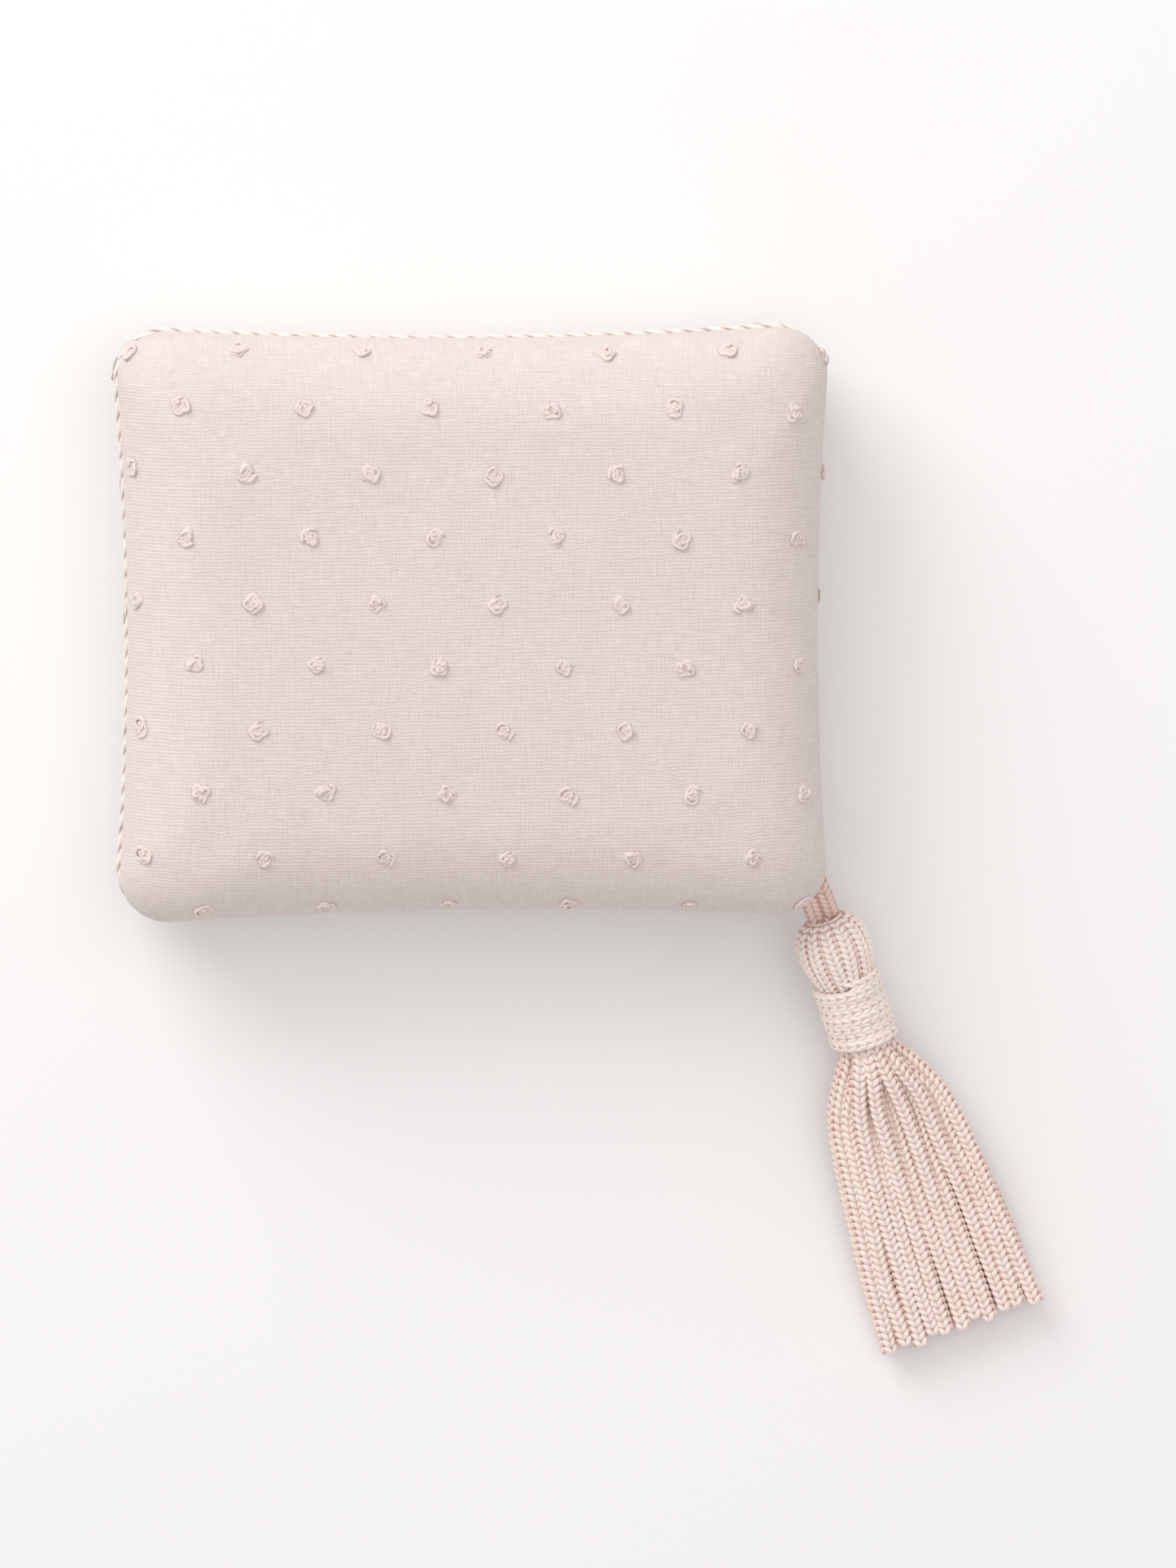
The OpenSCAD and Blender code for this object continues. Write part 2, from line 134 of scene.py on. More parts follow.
def smooth_path(stations, steps=12):
    """A smooth line through the stations (Catmull-Rom)."""
    p = np.asarray(stations, float)
    p = np.vstack([2 * p[0] - p[1], p, 2 * p[-1] - p[-2]])
    line = []
    for i in range(1, len(p) - 2):
        for t in np.linspace(0, 1, steps, endpoint=i == len(p) - 3):
            a, b, c, d = p[i - 1], p[i], p[i + 1], p[i + 2]
            line.append(0.5 * (2 * b + (c - a) * t + (2 * a - 5 * b + 4 * c - d) * t * t
                               + (3 * b - a - 3 * c + d) * t ** 3))
    return np.array(line)


def frames(path, out=None):
    """For each point of a path: the way along it, the way across and the way out.
    out gives the wanted outward way at each point; without it the frame is carried along untwisted."""
    way = unit(np.gradient(path, axis=0))
    if out is None:
        out = np.zeros_like(way)
        start = np.array([0, 0, 1.0]) if abs(way[0][2]) < 0.9 else np.array([1.0, 0, 0])
        for i, w in enumerate(way):
            start = unit(start - w * (start @ w))
            out[i] = start
    else:
        out = unit(out - way * np.sum(out * way, axis=1, keepdims=True))
    return way, np.cross(out, way), out


def tube(path, half_w, half_h, sides, out=None):
    """Points and faces of an oval tube along a path, half_w across and half_h out, with closed ends."""
    way, across, out = frames(path, out)
    n = len(path)
    half_w, half_h = np.broadcast_to(half_w, n), np.broadcast_to(half_h, n)
    turn = np.linspace(0, 2 * math.pi, sides, endpoint=False)
    points = (path[:, None] + across[:, None] * (half_w[:, None] * np.cos(turn))[..., None]
              + out[:, None] * (half_h[:, None] * np.sin(turn))[..., None]).reshape(-1, 3)
    faces = [(i * sides + k, (i + 1) * sides + k, (i + 1) * sides + (k + 1) % sides,
              i * sides + (k + 1) % sides) for i in range(n - 1) for k in range(sides)]
    faces.append(tuple(range(sides)))
    faces.append(tuple((n - 1) * sides + k for k in reversed(range(sides))))
    return points, faces


def merged(parts):
    """Several (points, faces) as one."""
    points, faces, base = [], [], 0
    for p, f in parts:
        points.append(p)
        faces += [tuple(base + i for i in face) for face in f]
        base += len(p)
    return np.vstack(points), faces


# %% [markdown]
# The camera looks almost straight down through a long lens, leaning a little to the upper left,
# so the edge cord shows on the left and top sides only.

# %% Camera
target = Vector((0.0197, -0.0276, 0.016))
LEAN, DISTANCE, FRAME_HEIGHT = math.radians(9), 1.5, 0.264
away = Vector((-math.sin(LEAN) * math.sqrt(0.5), math.sin(LEAN) * math.sqrt(0.5), math.cos(LEAN)))
right = Vector((0, 1, 0)).cross(away).normalized()
lens = bpy.data.cameras.new("camera")
lens.sensor_fit, lens.sensor_height = "VERTICAL", 36
lens.lens = 36 * DISTANCE / FRAME_HEIGHT
lens.clip_start, lens.clip_end = 0.05, 20
camera = bpy.data.objects.new("camera", lens)
bpy.context.scene.collection.objects.link(camera)
camera.matrix_world = Matrix.Translation(target + away * DISTANCE) @ Matrix(
    (right, away.cross(right), away)).transposed().to_4x4()
bpy.context.scene.camera = camera
print("camera lens", round(lens.lens, 1))

# %% [markdown]
# A pale floor, a big soft light from the upper left, and a white surround.

# %% Floor and light
def lamp(name, place, size, power, colour):
    light = bpy.data.lights.new(name, "AREA")
    light.size, light.energy, light.color = size, power, hex_linear(colour)[:3]
    made = bpy.data.objects.new(name, light)
    made.location = place
    made.rotation_euler = (Vector(place) - target).to_track_quat("Z", "Y").to_euler()
    bpy.context.scene.collection.objects.link(made)


lamp("key", (-0.78, 1.04, 0.8), 0.9, 12.6, "#fffdfc")
lamp("top", (0.1, 0.2, 1.3), 1.2, 4.2, "#ffffff")
world = bpy.data.worlds.new("surround")
world.use_nodes = True
world.node_tree.nodes["Background"].inputs["Color"].default_value = hex_linear("#fdfaf8")
world.node_tree.nodes["Background"].inputs["Strength"].default_value = 0.6
bpy.context.scene.world = world
bpy.context.scene.view_settings.view_transform = "Standard"

FLOOR_HALF = 1500
corners = [(x * FLOOR_HALF, y * FLOOR_HALF, 0) for x, y in ((-1, -1), (1, -1), (1, 1), (-1, 1))]
floor = new_mesh("floor", corners, [(0, 1, 2, 3)])
paper = bpy.data.materials.new("white card")  # the plain pale floor
paper.use_nodes = True
paper.node_tree.nodes["Principled BSDF"].inputs["Base Color"].default_value = hex_linear("#f8f8f8")
paper.node_tree.nodes["Principled BSDF"].inputs["Roughness"].default_value = 0.9
floor.data.materials.append(paper)

# %% [markdown]
# Materials. The cloth's weave reads a coordinate held on the mesh, in millimetres on the flat cloth, so
# it runs on over the rounded edge. Yarns and cords read the painted light held on the mesh (lit): painted
# highlight on top of a stitch, painted shade between stitches.

# %% Materials
def blank(name, rough, sheen=0.25):
    """A new material: its tree and its main shader."""
    made = bpy.data.materials.new(name)
    made.use_nodes = True
    tree = made.node_tree
    main = tree.nodes["Principled BSDF"]
    main.inputs["Roughness"].default_value = rough
    main.inputs["Sheen Weight"].default_value = sheen
    main.inputs["Sheen Roughness"].default_value = 0.4
    main.inputs["Specular IOR Level"].default_value = 0.25
    return made, tree, main


def noise(tree, vector, scale, detail=2.0, stretch=None):
    if stretch:
        vector = add(tree, "ShaderNodeVectorMath", {0: vector, 1: stretch}, operation="MULTIPLY").outputs[0]
    made = add(tree, "ShaderNodeTexNoise", {"Vector": vector, "Scale": scale, "Detail": detail})
    return made.outputs["Fac"]


def mixed(tree, share, a, b):
    """Colour a at share 0 and b at share 1, each a hex code or a socket."""
    made = tree.nodes.new("ShaderNodeMix")
    made.data_type = "RGBA"
    tree.links.new(share, made.inputs[0])
    for socket, value in ((made.inputs[6], a), (made.inputs[7], b)):
        if isinstance(value, bpy.types.NodeSocket):
            tree.links.new(value, socket)
        else:
            socket.default_value = hex_linear(value)
    return made.outputs[2]


def ranged(tree, value, low, high, to_low=0.0, to_high=1.0):
    return add(tree, "ShaderNodeMapRange", {"Value": value, "From Min": low, "From Max": high,
                                            "To Min": to_low, "To Max": to_high}).outputs[0]


def bumped(tree, main, height, distance, strength=1.0):
    made = add(tree, "ShaderNodeBump", {"Height": height, "Distance": distance, "Strength": strength})
    tree.links.new(made.outputs[0], main.inputs["Normal"])


def held_value(tree, name, output="Fac"):
    return add(tree, "ShaderNodeAttribute", attribute_name=name).outputs[output]


WARP_PITCH, WEFT_PITCH = 0.36, 0.57


def weave_material(name, light, dark):
    """Plain-weave cotton, with short slubs along warp and weft. The raised threads are painted lighter and
    the dips between them painted shade.
    """
    made, tree, main = blank(name, 0.85, 0.35)
    cloth = held_value(tree, "cloth", "Vector")
    sway = add(tree, "ShaderNodeTexNoise", {"Vector": cloth, "Scale": 0.7, "Detail": 2.0}).outputs["Color"]
    swayed = add(tree, "ShaderNodeVectorMath", {0: sway, 1: (0.5, 0.5, 0.5), 2: cloth},
                 operation="MULTIPLY_ADD")
    parts = add(tree, "ShaderNodeSeparateXYZ", {0: swayed.outputs[0]})
    warp = maths(tree, "SINE", maths(tree, "MULTIPLY", parts.outputs[0], math.pi / WARP_PITCH))
    weft = maths(tree, "SINE", maths(tree, "MULTIPLY", parts.outputs[1], math.pi / WEFT_PITCH))
    cross = maths(tree, "MULTIPLY", maths(tree, "MULTIPLY", warp, weft), 0.45)
    over = maths(tree, "ADD", maths(tree, "MULTIPLY", maths(tree, "ABSOLUTE", warp), 0.55), cross)
    under = maths(tree, "SUBTRACT", maths(tree, "MULTIPLY", maths(tree, "ABSOLUTE", weft), 0.55), cross)
    height = maths(tree, "MAXIMUM", over, under)
    slub = maths(tree, "ADD", noise(tree, cloth, 1.0, 4, (2.8, 0.25, 1)),
                 noise(tree, cloth, 1.0, 4, (0.25, 2.1, 1)))
    broad = noise(tree, cloth, 0.06, 3)
    # painted shade: the weave's height makes the dips darker and the raised threads lighter; broad is
    # random mottling of the cloth's own tone
    weave_shade_and_mottle = maths(tree, "ADD", ranged(tree, height, 0.2, 1.0, 0.25, 0.85),
                  ranged(tree, broad, 0.3, 0.7, -0.08, 0.08))
    tone = maths(tree, "ADD", ranged(tree, slub, 0.7, 1.3, -0.4, 0.4), weave_shade_and_mottle)
    tree.links.new(mixed(tree, ranged(tree, tone, -0.1, 1.3), dark, light), main.inputs["Base Color"])
    relief = maths(tree, "ADD", height, maths(tree, "MULTIPLY", slub, 0.5))
    bumped(tree, main, relief, 0.00011, 0.8)
    return made


def cord_material(name, light, mid, gap_shade, rough=0.55, fibre=0.3, low=0.15, high=0.75, shine=0.25):
    """Cotton or rayon yarn with painted light: light is the painted highlight on top of each stitch, then
    mid, and gap the painted shade between stitches.
    low and high are the lit values where the painted shade ends and the painted highlight begins, fibre the
    relief, shine the gloss."""
    made, tree, main = blank(name, rough, 0.3)
    main.inputs["Specular IOR Level"].default_value = shine
    place = add(tree, "ShaderNodeTexCoord").outputs["Object"]
    painted_light = held_value(tree, "lit")
    patch = noise(tree, place, 420, 3)
    # painted light: share runs from the painted shade colour through mid to the painted highlight colour,
    # with random patches
    share = maths(tree, "ADD", ranged(tree, painted_light, low, high), ranged(tree, patch, 0.3, 0.7, -0.16, 0.16))
    deep = mixed(tree, ranged(tree, share, 0, 0.4), gap_shade, mid)
    tree.links.new(mixed(tree, ranged(tree, share, 0.4, 1), deep, light), main.inputs["Base Color"])
    bumped(tree, main, noise(tree, place, 5200, 2), 0.00012, fibre)
    return made


def plain_material(name, light, dark, scale, rough=0.8):
    """Thread, wadding or plain lining: two close tones in a fine pattern."""
    made, tree, main = blank(name, rough)
    place = add(tree, "ShaderNodeTexCoord").outputs["Object"]
    grain = noise(tree, place, scale, 3)
    tree.links.new(mixed(tree, ranged(tree, grain, 0.3, 0.7), dark, light), main.inputs["Base Color"])
    bumped(tree, main, grain, 0.0002, 0.5)
    return made


blush_cotton = weave_material("blush cotton", "#f0e5e2", "#dacdc9")
# In each yarn and cord material below, the first colour is the painted highlight on top of a stitch or ply
# and the third is the painted shade between them
clip_yarn = cord_material("clipped cotton yarn", "#e9dad6", "#e0cfca", "#d3bfb9", 0.95, 0.5, 0.1, 0.6)
ivory_cord = cord_material("ivory cotton cord", "#f4ece5", "#cdbdb4", "#a8938a", 0.7, 0.4, 0.3, 0.85)
chainette = cord_material("blush chainette", "#fbece4", "#eed4ca", "#dfa898", 0.34, 0.25, 0.05, 0.66, 0.5)
# A lighter copy of the blush chainette for the head: painted light where the head is lit
head_chainette_lit = cord_material("blush chainette, head", "#fdf0e9", "#f0d8ce", "#e0ab9c",
                               0.34, 0.25, 0.04, 0.6, 0.5)
satin_chainette = cord_material("blush chainette, wound", "#f9ebe3", "#e1c5ba", "#b98d80",
                                0.22, 0.1, 0.02, 0.48, 0.8)
# A darker copy of the blush chainette for the hanging loop and its tails: painted shade under the corner
loop_chainette_shaded = cord_material("blush chainette, loop", "#f3d8ce", "#dcb5a8", "#c09082",
                               0.45, 0.3, 0.05, 0.58)
sewing_thread = plain_material("sewing thread", "#eedfd9", "#dcc8c0", 6000, 0.5)
case_cotton = plain_material("lining cotton", "#f4f2ee", "#e2dfd9", 4000)
fibre_fill = plain_material("polyester wadding", "#fbfbfa", "#e9e9e8", 900)
# The cords inside the head are the same blush yarn, painted darker salmon: painted shade between the head's
# cords
inner_cord_shade = plain_material("cords inside the head", "#d49f90", "#bd8576", 3000)
print("materials:", len(bpy.data.materials))

# %% [markdown]
# Geometry Nodes places a copy of a small shape at every given place. Each place holds a turn, a size and
# the number of the shape to use. The result becomes a plain mesh, for one body.

# %% Placing copies
def placing_tree():
    tree = bpy.data.node_groups.new("copies at places", "GeometryNodeTree")
    face = tree.interface
    face.new_socket("Places", in_out="INPUT", socket_type="NodeSocketGeometry")
    face.new_socket("Shapes", in_out="INPUT", socket_type="NodeSocketCollection")
    face.new_socket("Core", in_out="INPUT", socket_type="NodeSocketObject")
    face.new_socket("Material", in_out="INPUT", socket_type="NodeSocketMaterial")
    face.new_socket("Geometry", in_out="OUTPUT", socket_type="NodeSocketGeometry")
    given = add(tree, "NodeGroupInput")
    shapes = add(tree, "GeometryNodeCollectionInfo", {"Collection": given.outputs["Shapes"],
                                                      "Separate Children": True, "Reset Children": True})
    turn = add(tree, "GeometryNodeInputNamedAttribute", {"Name": "turn"}, data_type="FLOAT_VECTOR")
    size = add(tree, "GeometryNodeInputNamedAttribute", {"Name": "size"}, data_type="FLOAT_VECTOR")
    kind = add(tree, "GeometryNodeInputNamedAttribute", {"Name": "kind"}, data_type="FLOAT")
    rotation = add(tree, "FunctionNodeEulerToRotation", {0: turn.outputs["Attribute"]})
    number = add(tree, "FunctionNodeFloatToInt", {0: kind.outputs["Attribute"]})
    copies = add(tree, "GeometryNodeInstanceOnPoints", {
        "Points": given.outputs["Places"], "Instance": shapes.outputs[0], "Pick Instance": True,
        "Instance Index": number.outputs[0], "Rotation": rotation.outputs[0],
        "Scale": size.outputs["Attribute"]})
    real = add(tree, "GeometryNodeRealizeInstances", {"Geometry": copies.outputs[0]})
    core = add(tree, "GeometryNodeObjectInfo", {"Object": given.outputs["Core"]})
    joined = add(tree, "GeometryNodeJoinGeometry")
    tree.links.new(real.outputs[0], joined.inputs[0])
    tree.links.new(core.outputs["Geometry"], joined.inputs[0])
    coated = add(tree, "GeometryNodeSetMaterial", {"Geometry": joined.outputs[0],
                                                   "Material": given.outputs["Material"]})
    done = add(tree, "NodeGroupOutput")
    tree.links.new(coated.outputs[0], done.inputs[0])
    return tree


PLACING = placing_tree()


def shape_set(name, shapes):
    """A collection of small shapes that is never rendered itself."""
    made = bpy.data.collections.new(name)
    for s in shapes:
        for c in list(s.users_collection):
            c.objects.unlink(s)
        made.objects.link(s)
    return made


def turns(x_way, y_way, z_way):
    """Euler angles that take a shape's own x, y and z to these ways."""
    stack = np.stack([x_way, y_way, z_way], axis=-1)
    return np.array([Matrix(m.tolist()).to_euler() for m in stack])


def place_copies(name, points, turn, size, kind, shapes, material, core=None):
    """Copies of shapes at the points, and the core if there is one, as one plain mesh."""
    n = len(points)
    held = new_mesh(name + "_places", points, [],
                    {"turn": turn, "size": size, "kind": np.broadcast_to(kind, n)})
    work = held.modifiers.new("copies", "NODES")
    work.node_group = PLACING
    by_name = {s.name: s.identifier for s in PLACING.interface.items_tree if s.in_out == "INPUT"}
    work[by_name["Shapes"]] = shapes
    work[by_name["Core"]] = core
    work[by_name["Material"]] = material
    bpy.context.view_layer.update()
    seen = held.evaluated_get(bpy.context.evaluated_depsgraph_get())
    mesh = bpy.data.meshes.new_from_object(seen)
    mesh.name = name
    made = bpy.data.objects.new(name, mesh)
    bpy.context.scene.collection.objects.link(made)
    bpy.data.objects.remove(held)
    if core is not None:
        bpy.data.objects.remove(core)
    print(f"{name}: {n} copies, {sum(len(p.vertices) - 2 for p in mesh.polygons)} triangles")
    return made


# %% [markdown]
# Chainette is a fine knitted tube. One course of it is three V stitches round an oval. Each leg of a V
# is a plump, pointed lump of yarn. `lit` is painted light: 1 on top of a leg and falling to 0 down its
# sides, with painted shade at the ends of a leg and where a cord's sides lie against its neighbours.

# %% One course of chainette
def course(name, half_w, half_h, stitches, along_x, yarn_r, dip=0.22, flat=0.85):
    """stitches Vs round an oval of half_w by half_h. A leg is along_x long and yarn_r thick. dip is how
    much nearer the middle it ends than it starts, and flat its height over its width."""
    parts, lit = [], []
    sides, stations = 8, 8
    sunk = yarn_r * 0.55
    for v in range(stitches):
        middle = 2 * math.pi * v / stitches
        span = 2 * math.pi / stitches
        for hand in (-1, 1):
            t = np.linspace(0, 1, stations)
            angle = middle + hand * span * (0.47 - 0.42 * t)
            swell = np.sin(math.pi * np.clip(t, 0.02, 0.98)) ** 0.45
            rise = 0.12 + dip * (0.5 - t)
            path = np.stack([along_x * (t - 0.5), (half_w - sunk + rise) * np.sin(angle),
                             (half_h - sunk + rise) * np.cos(angle)], axis=1)
            out = np.stack([0 * t, np.sin(angle) / half_w, np.cos(angle) / half_h], axis=1)
            points, faces = tube(path, yarn_r * swell, yarn_r * flat * swell, sides, out)
            turn = np.linspace(0, 2 * math.pi, sides, endpoint=False)
            # painted shade: the sides of a round cord lie against its neighbours, and are painted darker
            side_lit = 0.22 + 0.78 * np.abs(np.cos(angle)) ** 0.7 if stitches > 2 else 1 + 0 * angle
            # painted light: the upper side of each leg's tube is lit and its underside painted shade; the
            # thin ends of a leg are painted darker too
            top = np.clip(0.5 + 0.5 * np.sin(turn), 0, 1)
            lit.append((top[None] * ((0.55 + 0.45 * swell ** 2) * side_lit)[:, None]).ravel())
            parts.append((points, faces))
    points, faces = merged(parts)
    return new_mesh(name, points, faces, {"lit": np.concatenate(lit)})


# The core under the stitches gets one fixed lit value: painted shade near the mid tone
CORE_SHARE, CORE_LIT = 0.8, 0.36


def core_tube(name, path, half_w, half_h, out):
    points, faces = tube(path, half_w, half_h, 10, out)
    return new_mesh(name, points, faces, {"lit": np.full(len(points), CORE_LIT)})


def knitted(name, path, shapes, pitch, half_w, half_h, out, material, size=(1.0, 1.0)):
    """A chainette cord along a path: courses of stitches, a pitch apart, over a core. size holds the
    cord's thickness at even steps along it."""
    line, step = along(path, pitch)
    if out is not None:
        far = np.linspace(0, 1, len(out))
        out = np.stack([np.interp(np.linspace(0, 1, len(line)), far, out[:, i]) for i in range(3)], axis=1)
    way, across, normal = frames(line, out)
    size = np.interp(np.linspace(0, 1, len(line)), np.linspace(0, 1, len(size)), size)
    core = core_tube(name + "_core", line, half_w * CORE_SHARE * size, half_h * CORE_SHARE * size, normal)
    sizes = np.repeat(size[:, None], 3, axis=1)
    return place_copies(name, line, turns(way, across, normal), sizes, 0, shapes, material, core)


# %% [markdown]
# The tassel lies in its own frame: x runs along it from the loop, y across and z up.

# %% Tassel frame
def tassel(points):
    """Points of the tassel's own frame, in millimetres, taken to the pillow's frame."""
    turn = (Matrix.Rotation(TASSEL_TURN, 3, "Z") @ Matrix.Rotation(TASSEL_DIP, 3, "Y"))
    return TASSEL_TOP + np.asarray(points, float) @ np.array(turn).T


def tassel_way(ways):
    return tassel(ways) - TASSEL_TOP


# share of the length, share of the spread, height of the arch, height of the layer, and the shares of
# spread and height that every second cord keeps
STATIONS = [
    [0.055, 0.32, 3.3, 0.70, 0.55, 0.55], [0.12, 0.49, 3.3, 0.80, 0.75, 0.60],
    [0.23, 0.70, 2.2, 1.10, 1.00, 0.50], [0.38, 0.80, 1.2, 1.30, 1.00, 0.60],
    [0.57, 0.88, 0.5, 1.40, 1.00, 0.85], [0.78, 0.94, 0.2, 1.45, 1.00, 0.95],
    [1.00, 1.00, 0.0, 1.50, 1.00, 1.00]]
UPPER, LOWER = 11, 9
UNEVEN = 0.7  # the cords are cut up to twice this shorter than the longest
NECK_BALL = 4.9  # the cords leave the neck over a ball of this radius


def skirt_stations(i):
    """Where skirt cord i passes, measured from the end of the neck."""
    upper = i < UPPER
    k, count, side = (i, UPPER, 1) if upper else (i - UPPER, LOWER, -1)
    f, odd = 2 * k / (count - 1) - 1, k % 2 == 1
    half = (SKIRT_W - STRAND_D) / 2
    cut = SKIRT_LEN - UNEVEN * (1 + math.sin(math.radians(137 * i)))
    rows = []
    for share, spread, arch, layer, aside, raised in STATIONS:
        y = f * half * spread * (aside if odd else 1)
        z = side * (layer + arch * math.sqrt(1 - f * f)) * (raised if odd else 1)
        rows.append([max(cut * share, math.sqrt(max(0, NECK_BALL ** 2 - y * y - z * z))), y, z])
    start = np.array(rows[0])
    inside = [[-2.5, start[1] * 0.72, start[2] * 0.72], [1.0, start[1] * 0.84, start[2] * 0.86]]
    return np.array(inside + rows)


# %% [markdown]
# Skirt: twenty cut cords, each a piece of its own that bends a little where it leaves the neck.

# %% Skirt cords
skirt_course = shape_set("skirt course", [course("course_skirt", 1.22, 1.17, 3, 1.55, 0.49)])
neck_end = tassel([NECK_END, 0, 0])
rng = np.random.default_rng(11)
skirt_lengths = []
for i in range(UPPER + LOWER):
    stations = skirt_stations(i) + [NECK_END, 0, 0]
    stations[4:, 1] += rng.normal(0, 0.2, len(stations) - 4)
    line = smooth_path(stations)
    path, _ = along(tassel(line), 0.5)
    lean = math.radians(rng.uniform(-25, 25))
    out = tassel_way([[0, math.sin(lean), math.cos(lean)]])
    name = f"knit_cord_{i + 1}"
    cord = knitted(name, path, skirt_course, 1.27, 1.22, 1.17, np.repeat(out, 3, axis=0), chainette,
                   size=[0.98, 1.0, 1.03, 1.06])
    length = float(np.sum(np.linalg.norm(np.diff(path, axis=0), axis=1))) * MM
    skirt_lengths.append(length)
    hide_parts(f"skirt_cord_{i + 1}")
    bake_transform(cord)
print("skirt cords, mm:", round(min(skirt_lengths) / MM, 1), "to", round(max(skirt_lengths) / MM, 1))

# %% [markdown]
# Head: twelve cords folded over the top of the tassel, and the wound neck below it.

# %% Head cords
head_course = shape_set("head course", [course("course_head", 1.2, 1.12, 3, 1.4, 0.46)])
parts = []
HEAD_CORDS = 12
for i in range(HEAD_CORDS):
    angle = 2 * math.pi * (i + 0.5) / HEAD_CORDS
    profile = smooth_path([[4.6, 1.1], [2.6, 1.2], [1.45, 1.85], [1.3, 2.9], [2.1, 4.05], [4.0, 4.85],
                           [6.5, 5.05], [8.7, 4.75], [10.4, 4.35], [12.4, 3.7]])
    drift = np.linspace(-1, 1, len(profile)) * math.radians(rng.uniform(-7, 7))
    wide = profile[:, 1] + rng.uniform(-0.12, 0.12)
    path = np.stack([profile[:, 0], wide * np.sin(angle + drift), wide * np.cos(angle + drift)], axis=1)
    outward = np.stack([-np.gradient(wide), np.gradient(profile[:, 0]) * np.sin(angle),
                        np.gradient(profile[:, 0]) * np.cos(angle)], axis=1)
    fold = np.interp(np.linspace(0, 1, 40), [0, 0.2, 0.36, 0.6, 0.85, 1], [0.45, 0.6, 0.98, 1.1, 1.02, 0.9])
    parts.append(knitted(f"head_cord_{i + 1}", tassel(path), head_course, 1.05, 1.2, 1.12,
                         tassel_way(outward), head_chainette_lit, size=fold))
bpy.ops.object.select_all(action="DESELECT")
for p in parts:
    p.select_set(True)
bpy.context.view_layer.objects.active = parts[0]
bpy.ops.object.join()
head_cords = parts[0]
head_cords.name = "folded_head_cords"
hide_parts("outer_head_cords")
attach(head_cords, "tassel_head")

# %% Neck wrap
wrap_course = shape_set("wrap course", [
    course("course_wrap", 0.9, 0.62, 2, 2.5, 0.5, dip=0.12, flat=0.7)])
TURNS, WRAP_LEN, WRAP_R, YARN_HALF = 7.15, 12, 5.25, 0.75
a = np.linspace(0, 2 * math.pi * TURNS, 1600)
wind = NECK_END - WRAP_LEN + YARN_HALF + (WRAP_LEN - 2 * YARN_HALF) * a / a[-1]
swell = WRAP_R + 0.1 * np.sin(a * 0.31)
helix = np.stack([wind + 0.25 * np.cos(a), swell * np.sin(a), swell * np.cos(a)], axis=1)
outward = np.stack([0 * a, np.sin(a), np.cos(a)], axis=1)
wrap = knitted("wound_neck", tassel(helix), wrap_course, 1.64, 0.9, 0.62, tassel_way(outward),
               satin_chainette)
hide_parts("neck_wrap")
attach(wrap, "tassel_head")

# %% [markdown]
# The hanging loop leaves the corner as two legs side by side and turns back under the head's cords.

# %% Hanging loop
loop_course = shape_set("loop course", [course("course_loop", 1.3, 1.0, 3, 1.6, 0.5)])
fall = unit(TASSEL_TOP - LOOP_ROOT)
aside = unit(np.cross([0, 0, 1.0], fall))
reach = float(np.linalg.norm(TASSEL_TOP - LOOP_ROOT))
rows = [[-3.0, 1.35], [-1.2, 1.35], [0.6, 1.35], [2.4, 1.35], [reach, 1.3], [reach + 1.3, 0.9],
        [reach + 1.9, 0]]
leg = [LOOP_ROOT + fall * x + aside * y for x, y in rows]
leg[0][2], leg[1][2] = LOOP_ROOT[2], LOOP_ROOT[2]
back = [2 * (LOOP_ROOT + fall * x) - p for (x, y), p in zip(rows, leg)]
back[0][2], back[1][2] = LOOP_ROOT[2], LOOP_ROOT[2]
line = smooth_path(leg + back[-2::-1])
loop = knitted("knit_loop", line, loop_course, 1.15, 1.3, 1.05, None, loop_chainette_shaded)
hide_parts("hanging_loop")
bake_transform(loop)

# %% [markdown]
# The covers. Each is a grid whose square rings become the rings of the pillow: over the flat face, round
# the padded border, and in under it to the seam. The cloth coordinate is the place on the flat cloth.

# %% Cover shape
def outline_point(inset, side, share):
    """A point of the outline, drawn in by inset, and the way out there. side runs from the middle of one
    corner (share 0) to the middle of the next (share 1)."""
    half_w, half_h = PILLOW_W / 2 - inset - CORNER_R, PILLOW_H / 2 - inset - CORNER_R
    centres = np.array([[half_w, half_h], [-half_w, half_h], [-half_w, -half_h], [half_w, -half_h]])
    arc = CORNER_R * math.pi / 4
    straight = 2 * (half_w if side % 2 == 0 else half_h)
    at = share * (2 * arc + straight)
    base = math.pi / 2 * (side + 1)
    if at < arc or at > arc + straight:
        far = (at - arc) / CORNER_R if at < arc else (at - arc - straight) / CORNER_R
        centre = centres[side] if at < arc else centres[(side + 1) % 4]
        out = np.array([math.cos(base + far), math.sin(base + far)])
        return centre + CORNER_R * out, out
    t = (at - arc) / straight
    out = np.array([math.cos(base), math.sin(base)])
    place = centres[side] * (1 - t) + centres[(side + 1) % 4] * t + CORNER_R * out
    return place - out * SIDE_DIP * 4 * t * (1 - t), out


FACE_RINGS, ROLL_RINGS, PINCH_RINGS = 26, 15, 6


